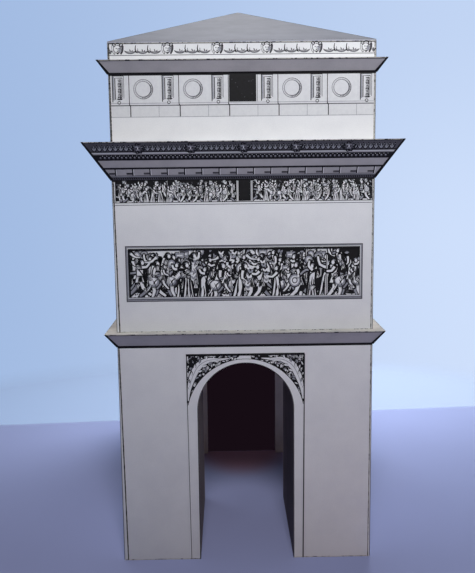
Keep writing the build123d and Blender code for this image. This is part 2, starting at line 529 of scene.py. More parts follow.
# In heights: how far a figure leans and strides and where its hands are
poses = [dict(zip(("lean", "stride", "near", "far", "robed", "holds"), row)) for row in (
    (0.05, 0.26, (0.24, 0.66), (-0.16, 0.52), False, "staff"),
    (-0.03, 0.10, (0.12, 0.98), (0.2, 0.6), True, "jar"),
    (0.10, 0.34, (0.3, 0.84), (-0.22, 0.62), False, "horn"),
    (0.0, 0.08, (0.22, 0.6), (-0.18, 0.56), True, "branch"),
    (0.12, 0.30, (0.2, 0.52), (0.26, 0.74), False, "shield"),
    (-0.06, 0.12, (0.06, 1.02), (-0.08, 1.0), True, "basket"),
    (0.02, 0.20, (0.18, 0.76), (-0.2, 0.7), False, "banner"),
    (0.16, 0.22, (0.32, 0.5), (0.26, 0.42), True, "sheaf"))]


def person(page, foot, ground, tall, pose, ahead, layer, stout, shade="slate"):
    at, size = placed(foot, ground, tall, ahead), tall * stout ** 0.5
    rim, lean = 0.07 * tall, pose["lean"] + random.uniform(-0.08, 0.08)
    hip, neck, shoulder = at(lean * 0.3, 0.5), at(lean, 0.82), at(lean * 0.95, 0.78)
    stride = pose["stride"] + random.uniform(-0.06, 0.08)
    hands = {side: (pose[side][0] + random.uniform(-0.1, 0.1), pose[side][1] + random.uniform(-0.12, 0.1))
             for side in ("near", "far")}
    near = layer + 3  # far limbs first, then the body, then the near arm

    def part(line, widths, above=near, lit="bare", dark=shade):
        limb(page, line, times(tall * stout, *widths), above, rim, lit, dark)

    part(bent(shoulder, at(*hands["far"]), 0.2 * ahead), (0.06, 0.04), layer, "grey", "slate")
    if not pose["robed"]:
        part(bent(hip, at(-stride, 0.02), 0.1 * ahead), (0.09, 0.05), layer, "grey", "slate")
    carry(page, at, tall, pose["holds"], hands["near"], layer, near)
    if pose["robed"]:
        for grow, tone, step in ((rim / 2 / tall, "black", 0), (0, shade, 1), (-0.02, "bare", 2)):
            slim, hem = 0.065 * stout + grow, 0.13 * stout + grow
            patch(page, [at(lean - slim, 0.82), at(lean * 0.3 - slim, 0.5), at(-hem, 0.0), at(hem * 0.9, 0.0),
                         at(lean * 0.3 + slim * 1.1, 0.5), at(lean + slim, 0.82)], tone, near + step)
        for x, fold in ((-0.075, "black"), (-0.02, "black"), (0.03, "slate"), (0.085, "black")):
            top = at(lean * 0.3 + x * 0.6, random.uniform(0.4, 0.76))
            stroke(page, bent(top, at(x * stout, 0.01), random.uniform(-0.06, 0.14)),
                   times(tall, 0.012, 0.045, 0.02), fold, near + 3)
        stroke(page, bent(at(lean - 0.07, 0.76), at(lean * 0.3 + 0.09, 0.52), -0.2),
               times(tall, 0.02, 0.035, 0.01), "black", near + 3)  # the mantle's edge
    else:
        part(bent(hip, at(stride, 0.02), -0.14 * ahead), (0.1, 0.055))
        part([hip, neck], (0.13, 0.17))
        stroke(page, bent(at(lean * 0.6 - 0.06, 0.72), at(0.1, 0.46), 0.1), 0.03 * tall, "black", near + 3)
        part([at(lean * 0.3, 0.54), at(0.02, 0.36)], (0.12, 0.22))  # a short tunic
        for x in (-0.05, 0.06):
            stroke(page, [at(lean * 0.3 + x * 0.5, 0.5), at(x * 1.2, 0.34)], 0.025 * tall, "black", near + 3)
    u, v = at(lean * 1.15 + 0.02, 0.905)  # the head: hair, a round face turned ahead, and a band
    disc(page, u - ahead * 0.02 * tall, v + 0.01 * tall, 0.082 * size, "black", near + 3, 1.1)
    disc(page, u, v, 0.052 * size, shade, near + 4, 1.15)
    disc(page, u + ahead * 0.016 * tall, v - 0.012 * tall, 0.036 * size, "bare", near + 5, 1.35, 8)
    stroke(page, [(u - ahead * 0.035 * size, v + 0.03 * size), (u + ahead * 0.02 * size, v + 0.052 * size)],
           0.022 * size, "grey", near + 5)
    part(bent(shoulder, at(*hands["near"]), -0.25 * ahead), (0.065, 0.045), near + 3)


def carry(page, at, tall, thing, hand, far, near):
    x, y = hand
    if thing in ("staff", "banner"):
        stroke(page, [at(x, 0.03), at(x, 1.08)], 0.05 * tall, "black", far + 1)
        stroke(page, [at(x - 0.005, 0.05), at(x - 0.005, 1.07)], 0.02 * tall, "bare", far + 2)
    if thing == "banner":
        for grow, tone, layer in ((0.02, "black", far + 1), (0, "grey", far + 2)):
            wide, low, high = 0.12 + grow, 0.88 - grow, 1.04 + grow
            patch(page, [at(x - wide, low), at(x + wide, low), at(x + wide, high), at(x - wide, high)],
                  tone, layer)
        stroke(page, [at(x - 0.08, 0.96), at(x + 0.08, 0.96)], 0.04 * tall, "bare", far + 3)
    if thing in ("jar", "basket"):
        aside, flat = (0.0, 0.62) if thing == "basket" else (0.03, 1.15)
        for step, (size, tone) in enumerate(((0.125, "black"), (0.1, "grey"), (0.06, "bare"))):
            disc(page, *at(x + aside, y + 0.03), size * tall, tone, near + 1 + step, flat)
    if thing == "horn":
        limb(page, smooth([at(0.14, 0.9), at(0.32, 0.92), at(0.46, 1.03)]), times(tall, 0.02, 0.09),
             near + 3, 0.04 * tall)
    if thing in ("branch", "sheaf"):
        for i, (u, v) in enumerate(smooth([at(x, y - 0.2), at(x, y), at(x + 0.1, y + 0.36)])):
            for turn in (0.6, -0.6):
                leaf(page, u, v, *times(tall, 0.13, 0.06), math.pi / 2 + turn,
                     ("bare", "grey")[i % 2], near + 4)
    if thing == "shield":
        rings = ((0.17, "black"), (0.145, "grey"), (0.11, "bare"), (0.075, "slate"), (0.05, "bare"))
        for step, (size, tone) in enumerate(rings):
            disc(page, *at(x, y), size * tall, tone, near + 3 + step, 1.1, 14)


def beast(page, foot, ground, size, ahead, layer, horned, stout):
    # An ox or a horse walking, sideways on, with a rider; size is its length.
    at, rim = placed(foot, ground, size, ahead), 0.05 * size
    for x, y, near in ((-0.3, 0.06, 0), (0.22, 0.04, 0), (-0.42, 0.0, 3), (0.34, 0.02, 3)):
        tones = ("bare", "grey") if near else ("grey", "slate")
        limb(page, bent(at(x * 0.85, 0.42), at(x + 0.03, y), 0.12 if x < 0 else -0.12),
             times(size * stout, 0.13, 0.06), layer + near, rim, *tones)
    limb(page, smooth([at(-0.36, 0.5), at(-0.05, 0.46), at(0.3, 0.54)]), times(size, 0.26, 0.22, 0.24),
         layer + 3, rim, "slate", "black")
    for x, y, wide in ((-0.33, 0.5, 0.21), (0.26, 0.52, 0.19)):  # the round rump and shoulder
        for step, share in enumerate((1.22, 1.0, 0.84, 0.66)):
            disc(page, *at(x - (1 - share) * 0.1 * ahead, y + (1 - share) * 0.12), wide * share * size,
                 ("black", "slate", "grey", "bare")[step], layer + 4 + step, 0.92)
        for start, end, by, widths, tone in (
                ((0.13, 0.12), (0.06, -0.15), -0.35, (0.02, 0.05, 0.01), "black"),
                ((-0.05, 0.08), (-0.08, -0.1), 0.3, (0.01, 0.03, 0.01), "slate")):
            stroke(page, bent(at(x + start[0], y + start[1]), at(x + end[0], y + end[1]), by),
                   times(size, *widths), tone, layer + 8)
    for x in (-0.1, 0.0, 0.1):  # the saddle cloth's folds
        stroke(page, bent(at(x, 0.6), at(x - 0.05, 0.34), 0.12), times(size, 0.03, 0.05, 0.02),
               "bare" if x < 0.1 else "grey", layer + 7)
    person(page, foot - 0.04 * ahead * size, ground + 0.26 * size, 0.86 * size, random.choice(poses[::2]),
           ahead, layer + 7, stout)
    head, neck = ((0.62, 0.62), 0.62) if horned else ((0.6, 0.82), 0.72)
    limb(page, smooth([at(0.32, 0.58), at(0.46, neck), at(*head)]), times(size, 0.24, 0.14), layer + 3, rim)
    limb(page, [at(*head), at(head[0] + 0.12, head[1] - 0.12)], times(size, 0.12, 0.08), layer + 4, rim)
    if horned:
        limb(page, smooth([at(0.6, 0.68), at(0.68, 0.78), at(0.64, 0.9)]), times(size, 0.05, 0.02),
             layer + 4, rim * 0.7)
    else:
        for i in range(5):  # the mane
            leaf(page, *at(0.4 + i * 0.04, 0.7 + i * 0.045), 0.14 * size, 0.07 * size,
                 math.pi / 2 + ahead * 0.9, "black", layer + 6)
    limb(page, bent(at(-0.5, 0.58), at(-0.56, 0.22), 0.2), times(size, 0.05, 0.03), layer + 4, rim * 0.7)


def leafyTree(page, foot, ground, tall, layer):
    at = placed(foot, ground, tall)
    limb(page, smooth([at(0, 0), at(0.04, 0.4), at(-0.03, 0.72)]), times(tall, 0.1, 0.06), layer, 0.05 * tall)
    for _ in range(26):
        turn, far = random.uniform(0, math.tau), random.uniform(0.02, 0.24)
        u, v = at(far * math.cos(turn), 0.78 + far * 0.8 * math.sin(turn))
        disc(page, u, v, 0.075 * tall, "black", layer + 3, 0.8, 7)
        leaf(page, u - 0.03 * tall, v, 0.11 * tall, 0.06 * tall, random.uniform(0, math.pi),
             random.choice(("bare", "grey", "grey", "slate")), layer + 4)


def undergrowth(page, left, right, bottom, top, count, layer, tones, size=1.0):
    for _ in range(count):
        leaf(page, random.uniform(left, right), random.uniform(bottom, top), random.uniform(0.5, 1.1) * size,
             random.uniform(0.25, 0.5) * size, random.uniform(0, math.tau), random.choice(tones), layer)


def drapery(page, left, right, bottom, top, count, sizes, layer):
    # Flying folds of cloth: light ridges on a dark ground.
    for _ in range(count):
        u, v = random.uniform(left, right), random.uniform(bottom, top)
        size, turn = random.uniform(*sizes), random.uniform(0.3, 2.6)
        c, s = math.cos(turn), math.sin(turn)
        leaf(page, u - size * 0.5 * c, v - size * 0.5 * s, size * 1.25, size, turn, "black", layer)
        for side, tone in ((-0.22, "bare"), (0, "bare"), (0.22, "grey")):
            line = [(u + (x * c - (side + y) * s) * size, v + (x * s + (side + y) * c) * size)
                    for x, y in ((-0.42, 0.0), (0.0, 0.12), (0.45, -0.04))]
            stroke(page, smooth(line, 2), (0.06, 0.13 * size, 0.05), tone, layer + 1)


def procession(page, left, right, ground, tall, spacing, layer, stout, beasts=0):
    # People walking towards the middle from both ends, now and then with an ox or a horse.
    count = int((right - left) / spacing)
    for i in range(count):
        if i % len(poses) == 0:
            order = random.sample(range(len(poses)), len(poses))
        u = left + (i + 0.5) * (right - left) / count + random.uniform(-0.12, 0.12) * spacing
        ahead = 1 if u < (left + right) / 2 else -1
        if random.random() < 0.22:
            ahead = -ahead
        steps = layer + 10 * (i % 3)
        height = tall * random.uniform(0.86, 1.03)
        ground += random.uniform(-0.03, 0.03) * tall
        if beasts and i % beasts == beasts // 2:
            horned = i % (2 * beasts) > beasts
            beast(page, u, ground + 0.02 * tall, tall * 0.74, ahead, steps, horned, stout ** 0.5)
        else:
            person(page, u, ground, height, poses[order[i % len(poses)]], ahead, steps, stout, "black")


def carvedPanel(page, left, bottom, right, top):
    # A framed relief: crowded figures on hilly ground before trees and sky, cut deep and printed dark.
    for inset, foot, tone, layer in (
            (0, 0, "slate", 0), (0.3, 0.3, "grey", 1), (0.62, 1.02, "bare", 2), (0.78, 1.18, "slate", 3)):
        box(page, left + inset, bottom + foot, right - inset, top - inset, tone, layer)
    level(page, bottom + 0.62, left + 0.3, right - 0.3, 0.16, "black", 3)
    west, south, east, north = left + 0.85, bottom + 1.35, right - 0.85, top - 0.85
    wide, tall = east - west, north - south
    box(page, west, south, east, north, "black", 4)
    page = within(page, west, south, east, north)
    for start, end, deep in ((0.02, 0.3, 2.6), (0.52, 0.63, 2.0), (0.76, 0.88, 1.8)):  # open sky
        edge = [(west + wide * (start + (end - start) * i / 9), north - deep + 0.5 * math.sin(i * 2.4))
                for i in range(10)]
        patch(page, edge + [(edge[-1][0], north), (edge[0][0], north)], "bare", 5)
    undergrowth(page, west, east, south, north - 1.5, int(wide * 4), 5, ("grey", "bare", "slate"), 1.3)
    procession(page, west + 0.6, east - 0.6, south + 3.9, tall * 0.7, 2.9, 6, 1.15)
    for i in range(int(wide / 9)):
        leafyTree(page, west + wide * (i + 0.7) / (wide / 9), south + 1.5, tall * 0.84, 14)
    procession(page, west + 1.0, east - 0.6, south + 2.2, tall * 0.74, 3.1, 37, 1.2)
    drapery(page, west, east, south + 1.5, north - 2.5, int(wide * 0.5), (1.4, 2.2), 68)
    ground = [(west + wide * i / 28, south + 0.75 + 0.45 * math.sin(i * 2.3) + 0.3 * math.sin(i * 0.9))
              for i in range(29)]
    for lift, tone, layer in ((0.3, "black", 70), (0, "bare", 71)):
        patch(page, [(west, south)] + [(u, v + lift) for u, v in ground] + [(east, south)], tone, layer)
    undergrowth(page, west, east, south, south + 0.9, int(wide * 1.8), 72, ("black", "black", "slate"), 0.9)
    procession(page, west + 1.2, east - 1.2, south + 0.5, tall * 0.82, 3.4, 73, 1.25, 5)
    drapery(page, west, east, south + 1, north - 4, int(wide * 0.4), (1.2, 1.8), 105)
    for shadow in ((west, north - 0.55, east, north), (west, south, west + 0.5, north),
                   (east - 0.16, south, east, north)):  # the frame's own shadow
        box(page, *shadow, "black", 108)


def frieze(page, left, bottom, right, top):
    # A continuous procession in low relief, small and crowded.
    box(page, left, bottom, right, top, "black", 0)
    page = within(page, left, bottom, right, top)
    wide, tall = right - left, top - bottom
    undergrowth(page, left, right, bottom + 0.5, top, int(wide * 5), 1, ("slate", "grey", "bare"))
    procession(page, left + 0.5, right - 0.5, bottom + 1.4, tall * 0.76, 1.7, 2, 1.5)
    box(page, left, bottom, right, bottom + 0.35, "bare", 33)
    undergrowth(page, left, right, bottom + 0.1, bottom + 0.7, int(wide * 2), 34, ("black", "slate", "bare"),
                0.8)
    procession(page, left + 0.9, right - 0.9, bottom + 0.2, tall * 0.82, 2.05, 35, 1.6, 5)
    drapery(page, left, right, bottom + 0.8, top - 0.8, int(wide * 0.5), (0.8, 1.2), 66)
    for edge in (left + 0.08, right - 0.08):
        upright(page, edge, bottom, top, 0.16, "black", 68)


flangeBelow = {"main": 10.6, "impost": 4.4, "upper": 3.7}  # mm of wall that each tray covers
friezePlace = {"foot": 37.35, "door": 1.75, "middle": 0.3, "margin": 0.6}  # door is half the doorway's width


def freeTop(page, tray):  # the height at which a wall goes behind its tray
    return page.tall + folded["cardThick"] - flangeBelow[tray]


def friezeBand(page):
    # Two lengths of frieze with a dark doorway between them, over a double moulding line.
    top, foot, edge = freeTop(page, "main"), friezePlace["foot"], page.half - friezePlace["margin"]
    middle, door = friezePlace["middle"], friezePlace["door"]
    frieze(page, -edge + 0.3, foot, middle - door - 0.5, top)
    frieze(page, middle + door + 0.5, foot, edge, top)
    box(page, middle - door, foot + 0.1, middle + door, top, "black", 2)
    for turn in (-1, 1):
        upright(page, middle + turn * (door + 0.22), foot, top, 0.1, "slate", 2)
    level(page, foot - 0.1, -edge, edge, 0.18, "black", 3)
    level(page, foot - 0.75, -edge, edge, 0.16, "slate", 3)


archBand = {"wide": 3.3, "drop": 2.0, "frameIn": 0.2, "frameUp": 2.6, "springUp": 4.2}  # mm on the small arch


def archPrint(page, radius, centre):
    # A plain archivolt round the opening, a rectangular frame and a carved spandrel in each corner.
    scale = radius / 14
    # the printed ring has a lower centre than the cut
    band, low = radius + archBand["wide"] * scale, centre - archBand["drop"] * scale
    edge, top = band - archBand["frameIn"] * scale, centre + radius + archBand["frameUp"] * scale ** 0.5
    spring, slant = low + archBand["springUp"] * scale, 0.35 * scale
    for turn in (-1, 1):
        west, east = sorted((turn * 1.6, turn * edge))
        spandrel(within(page, west, spring, east, top), turn, band, low, scale, edge, top)
        upright(page, turn * edge, top, spring, 0.26, "black", 16)
        stroke(page, [(turn * edge, spring), (turn * (edge - slant), 0.05)], 0.16, "black", 16)
        if turn > 0:  # the printed frame throws a soft shade to the right
            stroke(page, [(edge + 0.2, top), (edge + 0.2 - slant, 0.05)], 0.22, "slate", 15)
        upright(page, turn * (radius + 0.1), 0.05, centre, 0.2, "black", 16)
    outer = arc(0, low, band, 8, 172, 41)
    inner = arc(0, centre, radius + 0.05, 8, 172, 41)
    for i in range(len(outer) - 1):  # the plain archivolt lies over the carving
        patch(page, [inner[i], outer[i], outer[i + 1], inner[i + 1]], "bare", 14)
    stroke(page, outer[1:-1], (0.2, 0.2, 0.12, 0.2, 0.2), "black", 15)
    stroke(page, arc(0, centre, radius + 0.12, 0, 180, 48), 0.2, "black", 16)
    level(page, top, -edge - 0.15, edge + 0.15, 0.66, "black", 16)


def spandrel(page, turn, band, low, scale, edge, top):
    # Acanthus in high relief: one long plume that follows the arch, small leaves crowded round it.
    def at(angle, out):  # by the angle round the arch and the distance outside it
        a = math.radians(angle)
        return turn * (band + out * scale) * math.cos(a), low + (band + out * scale) * math.sin(a)

    def lie(angle, lean):  # a direction along the arch, leaning outward
        a = math.radians(angle + 90 - lean)
        return a if turn > 0 else math.pi - a

    curve = [at(angle, -0.1) for angle in range(8, 91, 4)]
    patch(page, curve + [(0, top), (turn * edge, top), (turn * edge, curve[0][1])], "black", 1)
    for count, tones, layer, long, wide in (
            (700, ("bare", "bare", "bare", "grey"), 2, (0.6, 1.4), (0.35, 0.7)),
            (330 if turn < 0 else 640, ("black",), 3, (0.4, 1.0), (0.12, 0.3))):
        for _ in range(int(count * (edge * (top - low - 4) - edge * band * 0.55) / (14 * scale) ** 2 * 2)):
            u, v = random.uniform(0, edge), random.uniform(low, top)
            if math.hypot(u, v - low) > band:
                angle = math.degrees(math.atan2(v - low, u))
                leaf(page, turn * u, v, random.uniform(*long) * scale, random.uniform(*wide) * scale,
                     lie(angle, random.uniform(-20, 80)), random.choice(tones), layer)
    plume = smooth([at(*place) for place in (
        (17, 0.3), (27, 1.2), (38, 2.3), (48, 3.2), (57, 2.9), (66, 1.5), (75, 0.8))], 5)
    widths = times(scale, 0.3, 1.0, 1.9, 2.1, 1.5, 0.7, 0.2)
    stroke(page, plume, tuple(w + 0.5 * scale for w in widths), "black", 4)
    stroke(page, plume, widths, "bare", 5)
    for i, angle in enumerate(range(20, 74, 6)):  # lobes on both sides of the plume
        reach = 0.3 + 2.6 * math.exp(-((angle - 50) / 17) ** 2)
        long = (0.8 + 1.0 * math.exp(-((angle - 48) / 16) ** 2)) * scale
        for out, lean in ((reach + 0.7, 38), (reach - 0.4, -30)):
            leaf(page, *at(angle, out), long * 1.2, long * 0.55, lie(angle, lean), "black", 6)
            leaf(page, *at(angle, out), long * 0.95, long * 0.36, lie(angle, lean),
                 "grey" if (i + (lean > 0)) % 3 == 0 else "bare", 7)
    stroke(page, plume[6:-4], (0.1, 0.2 * scale, 0.1), "grey", 8)
    for angle, out, share in (
            (45, 6.2, 1.15), (27, 3.4, 0.6), (66, 3.9, 0.7), (60, 5.4, 0.55), (33, 5.2, 0.55)):
        u, v = at(angle, out)
        size = share * scale
        if abs(u) < edge - size * 0.7 and v < top - size * 0.7:  # a rosette, where there is room
            for grow, tone, layer in ((1.25, "black", 9), (0.55, "bare", 11), (0.25, "black", 12)):
                disc(page, u, v, size * grow, tone, layer)
            for a in (math.tau * i / 6 + 0.3 for i in range(6)):
                leaf(page, u + size * 0.2 * math.cos(a), v + size * 0.2 * math.sin(a),
                     size * 0.85, size * 0.5, a, "bare", 10)


atticPlace = {"base": 10.9, "bay": 13.74, "ends": 5.3, "wreath": 2.5}  # mm; the bays come near this width


def baysOf(page, ends, near):  # a whole number of bays of about this width between the end margins
    return (2 * page.half - ends) / round((2 * page.half - ends) / near)


def atticPrint(page):
    # Bays with a wreath in each, upright garland panels between them and a dark square in the middle.
    top, base = freeTop(page, "upper"), atticPlace["base"]
    spacing = baysOf(page, atticPlace["ends"], atticPlace["bay"])
    panels = evenly(2 * page.half - atticPlace["ends"] + 0.1, spacing)
    for i, u in enumerate(panels):
        garlandPanel(page, u, base, top - 0.3)
        if i + 1 < len(panels):
            middle = u + spacing / 2
            joint = [(u + 2.95, base - 0.5), (u + 3.25, base - 1.0), (u + 3.25, base - 3.9)]
            upright(page, u + 2.95, base - 0.5, top, lineWeights["joint"], "black", 2)
            stroke(page, joint, 0.26, "black", 2)
            upright(page, u + 11.1, base - 0.9, base - 3.9, 0.12, "grey", 2)
            if abs(middle) < 1:
                box(page, middle - 3.7, base - 0.05, middle + 3.8, top, "black", 2)
                undergrowth(page, middle - 3, middle + 3, base + 1, top - 1, 9, 3, ("slate",), 0.4)
                upright(page, middle + 4.1, base, top, 0.14, "slate", 2)
            else:
                wreath(page, middle, base + 3.55, atticPlace["wreath"])
    edge = page.half - 0.5
    # a faint screen over the attic above its base band: partly print, partly painted shade, darker than the
    # band that the ledge below lights
    box(page, -edge, base - 4.0, edge, top, "pale", 0)
    for down, width, tone in ((0.25, 0.15, "grey"), (0.85, 0.26, "slate"), (4.0, 0.15, "grey")):
        level(page, base - down, -edge, edge, width, tone, 1)


garland = {"bunches": 12, "thick": 0.46, "left": -1.6, "right": 1.5, "middle": 0.34}  # mm


def garlandPanel(page, u, bottom, top):
    # An upright panel with a bound garland that ends in a ring.
    left, right, middle = (u + garland[place] for place in ("left", "right", "middle"))
    box(page, left + 0.1, bottom + 0.6, left + 0.5, top - 0.2, "grey", 3)
    upright(page, left, bottom + 0.1, top, 0.24, "black", 3)
    level(page, top, left, right, 0.24, "black", 3)
    upright(page, right, top, bottom + 1.1, 0.14, "slate", 3)
    corner = [(left + 0.72, bottom + 0.8), (left + 0.72, top - 0.6), (right - 0.35, top - 0.6)]
    stroke(page, corner, 0.24, "black", 4)
    upright(page, right - 0.35, top - 0.6, bottom + 1.4, 0.13, "slate", 4)
    step = (top - bottom - 2.1) / garland["bunches"]
    for i in range(garland["bunches"] + 1):  # the bound bunches: a dark underside and a light top
        v, wide = bottom + 1.0 + i * step, garland["thick"] + 0.08 * math.sin(i * 1.57)
        disc(page, middle, v, wide, "slate", 4, 0.5, 8)
        stroke(page, [(middle - wide, v - 0.08), (middle + wide, v + 0.06)], 0.16, "black", 5)
        disc(page, middle - 0.1, v + 0.16, 0.17, "bare", 6, 0.7, 6)
    upright(page, middle + 0.5, bottom + 1.0, top - 1.0, 0.16, "black", 5)
    for turn in (-1, 1):
        leaf(page, middle, bottom + 0.7, 0.95, 0.34, math.pi / 2 - turn * 1.2, "black", 5)
    stroke(page, arc(u + 0.15, bottom - 0.05, 0.4, 0, 360, 12), 0.18, "black", 5)


def wreath(page, u, v, radius):
    for size, weights in ((radius + 0.13, (0.13, 0.11, 0.16, 0.22, 0.13)),
                          (radius - 0.4, (0.11, 0.11, 0.17, 0.26, 0.11))):
        stroke(page, arc(u, v, size, 90, 450, 40), weights, "slate", 3)
    for turn in (math.tau * i / 36 for i in range(36)):  # bound leaves, darker away from the light
        wide, tone = (0.26, "slate") if math.cos(turn + 0.7) > 0.35 else (0.14, "grey")
        leaf(page, u + (radius - 0.32) * math.cos(turn), v + (radius - 0.32) * math.sin(turn), 0.46, wide,
             turn + 0.9, tone, 3)


parapetPlace = {"ends": 5.6, "mask": 13.7, "maskUp": 3.2, "swagUp": 2.75}  # mm
parapetMask = (  # a calm mask under two curls, with shaded hair at its right, in mm
    (-1.02, 1.0, 0.16, "grey", 4, 1.0, 8), (1.02, 1.0, 0.16, "grey", 4, 1.0, 8),
    (0, -0.1, 1.0, "slate", 4, 1.15, 12), (-0.12, -0.05, 0.86, "bare", 5, 1.1, 12),
    (0.55, -0.35, 0.36, "grey", 6, 2.0, 8), (0, -0.62, 0.26, "black", 7, 0.5, 8),
    (-0.36, 0.12, 0.17, "black", 7, 0.8, 6), (0.36, 0.12, 0.17, "black", 7, 0.8, 6),
    (0, -1.25, 0.3, "black", 4, 0.6, 8))


def parapetPrint(page):
    # Masks with swags of cloth between them.
    spacing = baysOf(page, parapetPlace["ends"], parapetPlace["mask"])
    masks = evenly(2 * page.half - parapetPlace["ends"] + 0.1, spacing)
    for i, u in enumerate(masks):
        cresting(page, placed(u, parapetPlace["maskUp"], 1))
        if i + 1 < len(masks):
            swags(page, u + 1.75, u + spacing - 1.75, 3)
    edge, top = page.half - 0.3, page.tall
    for v, width, tone in ((1.45, 0.16, "slate"), (top - 0.06, 0.12, "worn"), (top - 0.22, 0.2, "black")):
        level(page, v, -edge, edge, width, tone, 2)
    swags(page, -page.half + 0.4, masks[0] - 1.7, 1)
    swags(page, masks[-1] + 1.7, page.half - 0.4, 1)


def cresting(page, at):
    for turn, lit, shade in ((-1, "bare", "grey"), (1, "slate", "black")):
        stroke(page, arc(*at(turn * 1.02, 1.0), 0.42, 0, 360, 10), 0.24, "black", 3)
        limb(page, smooth([at(turn * 1.35, 0.7), at(turn * 1.3, -0.4), at(turn * 0.9, -1.3)]), (0.42, 0.25),
             3, 0.22, lit, shade)
    stroke(page, arc(*at(0, 0.75), 0.75, 20, 160, 8), 0.3, "black", 3)
    stroke(page, [at(0, 0.2), at(0, -0.35)], 0.14, "grey", 7)
    discs(page, at, 1, 0, parapetMask)


def swags(page, left, right, count):
    wide = (right - left) / count
    for i in range(count):
        u = left + (i + 0.5) * wide
        for drop, width, tone in ((1.0, 0.14, "grey"), (0.8, 0.26, "slate"), (0.45, 0.16, "slate")):
            stroke(page, arc(u, parapetPlace["swagUp"], wide * 0.46, 180, 360, 12, drop * 2 / wide),
                   times(width, 0.5, 1, 1, 0.5), tone, 2)
        leaf(page, u + 0.1, 2.35, 0.85, 0.36, math.pi * 0.62, "slate", 3)
        leaf(page, u + 0.3, 2.3, 0.7, 0.3, math.pi * 0.3, "slate", 3)
        if i:
            tip = left + i * wide
            stroke(page, bent((tip, 2.1), (tip - 0.15, 4.15), 0.12), (0.4, 0.16), "black", 3)
            stroke(page, bent((tip + 0.2, 2.0), (tip + 0.35, 3.3), -0.1), (0.24, 0.1), "slate", 3)


# Where the large artwork lies, in mm: an arch by its radius and centre, a relief by its middle and half width
artwork = {"smallArch": (14.0, 46.4), "greatArch": (22.5, 0.0), "reliefUp": (8.9, 25.0),
           "narrowRelief": (0, 33.9), "wideRelief": (47.6, 16.9), "smallFeet": 14.3, "greatFeet": 22.3}


def printTrayTop(side, node):  # the worn cut along a tray's rim
    acrossStrip(topPage(side, side, node), 0.05, 0.25, "worn", 1, 0.1)


def printLegs(side, block, narrow, drift):
    legs = wallPage(side, side, f"{block}_pier_{side}_wall")
    edgeLines(legs, 0.1, legs.tall, drift)
    cutFeet(legs, artwork["smallFeet"] if narrow else 0)
    if narrow:
        archPrint(legs, *artwork["smallArch"])
    plainFlange(flangePage(side, side, legs, f"{block}_impost_flanges"))
    underFlange(legs, freeTop(legs, "impost"))
    printTrayTop(side, f"{block}_impost_ledge")


def printRoof(slope):
    for turn, ink in ((-1, "slate"), (1, "black")):
        hip = [(turn * (slope.half + slope.spread * v - 0.35), v) for v in (0.4, slope.tall - 1.0)]
        stroke(slope, hip, 0.3, "worn", 1)
        stroke(slope, hip, 0.2, ink, 2)
    acrossStrip(slope, 0.04, 0.16, "worn", 1, 0.3)
    acrossStrip(slope, 0.16, 0.3, "black", 2, 0.3)


def printSide(side):
    narrow = side in ("front", "back")
    middle, attic, parapet = (
        wallPage(side, side, f"{part}_{side}_wall") for part in ("middle", "attic", "parapet"))
    for block in (side,) if narrow else ("front", "back"):
        printLegs(side, block, narrow, 0.8 if side == "front" else 0.3)
    edgeLines(middle, 0.0, freeTop(middle, "main"), 0.5 if side == "front" else 0.2)
    for turn in (-1, 1):
        level(middle, 0.12, turn * middle.half, 0 if narrow else turn * artwork["greatFeet"], 0.16, "worn", 1)
    if not narrow:
        archPrint(middle, *artwork["greatArch"])
    place, half = artwork["narrowRelief" if narrow else "wideRelief"]
    for u in (0,) if narrow else (-place, place):
        carvedPanel(middle, u - half, artwork["reliefUp"][0], u + half, artwork["reliefUp"][1])
    friezeBand(middle)
    underFlange(middle, freeTop(middle, "main"))
    underFlange(attic, freeTop(attic, "upper"))
    greatCornice(flangePage(side, side, middle, f"main_cornice_{side}_flange"))
    edgeLines(attic, 0.0, freeTop(attic, "upper"))
    atticPrint(attic)
    plainFlange(flangePage(side, side, attic, f"upper_cornice_{side}_flange"))
    edgeLines(parapet, 0.0, parapet.tall)
    parapetPrint(parapet)
    for tray in ("main", "upper"):
        printTrayTop(side, f"{tray}_cornice_ledge")
    printRoof(slopePage(side))


for side in sideAxes:
    printSide(side)
    print("stage: drawn the", side, "face")
for block, side in (("front", "back"), ("back", "front")):  # the two walls that face each other
    inner = wallPage("inner", side, f"{block}_pier_{side}_wall")
    edgeLines(inner, 0.1, folded["innerTop"])
    plainFlange(flangePage("inner", side, inner, f"{block}_impost_flanges"))


def newPiece(name, points, faces, material):
    mesh = bpy.data.meshes.new(name)
    mesh.from_pydata(points, [], faces)
    mesh.materials.append(material)
    piece = bpy.data.objects.new(name, mesh)
    bpy.context.scene.collection.objects.link(piece)
    return piece


prints = {f"{sheet}_{tone}_print": (tone, held)
          for sheet, tones in sheets.items() for tone, held in tones.items()}
for name, (tone, held) in prints.items():
    piece = newPiece(name, held.points, held.faces, materials[tone])
    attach(piece, "root")
print("stage: prints built:", len(prints), "pieces,",
      sum(len(face) - 2 for tone, held in prints.values() for face in held.faces), "triangles")


# The stage: a pale matt floor, on which each mask grows from 0 to 1 between two distances in mm. A
# distance is from the point that is given, or along the direction that is given, in degrees.
floorLook = {
    "colour": "909cc4", "size": 4000, "squeeze": 1.5,  # the painted passage shade is narrower by the squeeze
    "paintedPassageShade": {"colour": "967a8c", "point": (0, 30), "grows": (37, 18)},  # painted shade: the floor in the dark passage tinted to the warm brown of its shade
    "before": {"turn": 0, "grows": (27, 24)},  # none of that on the far side of the painted shade sheet
    "paler": {"colour": "b6c3ee", "point": (0, 40), "grows": (125, 200)},  # painted light: paler paper where the boxes' light thins out
    "second": {"colour": "a0b4d4", "turn": 4.68, "grows": (71.6, 74.0), "clear": 0.62},  # the sheet behind
    "fade": {"point": (0, -40), "grows": (150, 250)},  # far off the camera sees through to the backdrop
}
paperDrift = {"size": 40.0, "least": 0.97, "most": 1.02}  # matt paper is nearly even, over a hand's width


